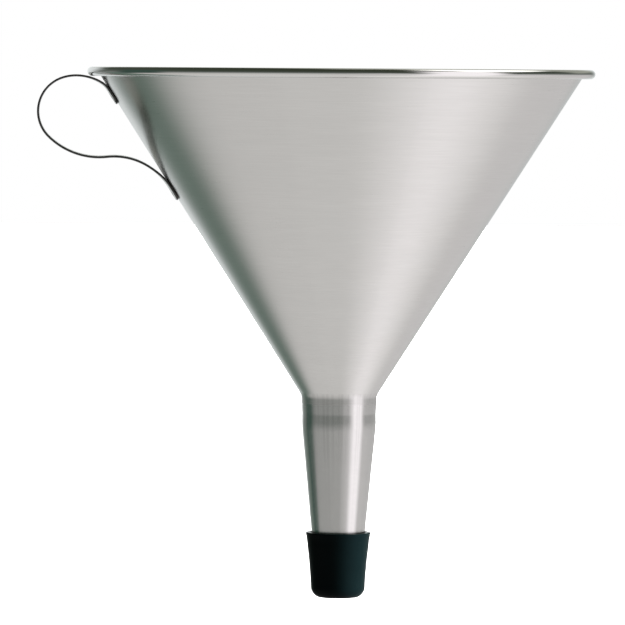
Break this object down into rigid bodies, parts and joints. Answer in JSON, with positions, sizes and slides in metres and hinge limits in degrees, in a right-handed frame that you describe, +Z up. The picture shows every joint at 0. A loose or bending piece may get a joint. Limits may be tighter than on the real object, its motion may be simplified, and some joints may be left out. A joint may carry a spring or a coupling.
{
  "type": "funnel",
  "caption": "Wide conical stainless steel funnel with a rolled rim, a strip loop handle, a tapered spout and a push-on spout cap.",
  "frame": {"origin": "on the funnel's axis, at the centre of the cap's flat foot, which is the lowest point", "axes": "+Z up along the axis from the spout to the rim, -X towards the handle, +Y across the handle strip's width"},
  "size_m": [0.1758, 0.16, 0.1671],
  "materials": {
    "bowl_steel": "satin, spun, brushed round the cone",
    "spout_steel": "satin, turned, a little smoother than the cone",
    "weld_steel": "ground and blended",
    "handle_steel": "satin, brushed along the strip",
    "cap_plastic": "black moulded soft plastic, satin sides and a glossy lip"
  },
  "bodies": {
    "funnel": {"bowl": "bowl_steel", "spout": "spout_steel", "neck_weld": "weld_steel", "handle_strip": "handle_steel", "handle_spot_welds": "weld_steel"},
    "cap": {"spout_cap": "cap_plastic"}
  },
  "joints": [
    {"name": "cap_slide", "type": "slide", "parent": "funnel", "child": "cap", "axis": [0, 0, -1], "range_m": [0, 0.04]}
  ]
}
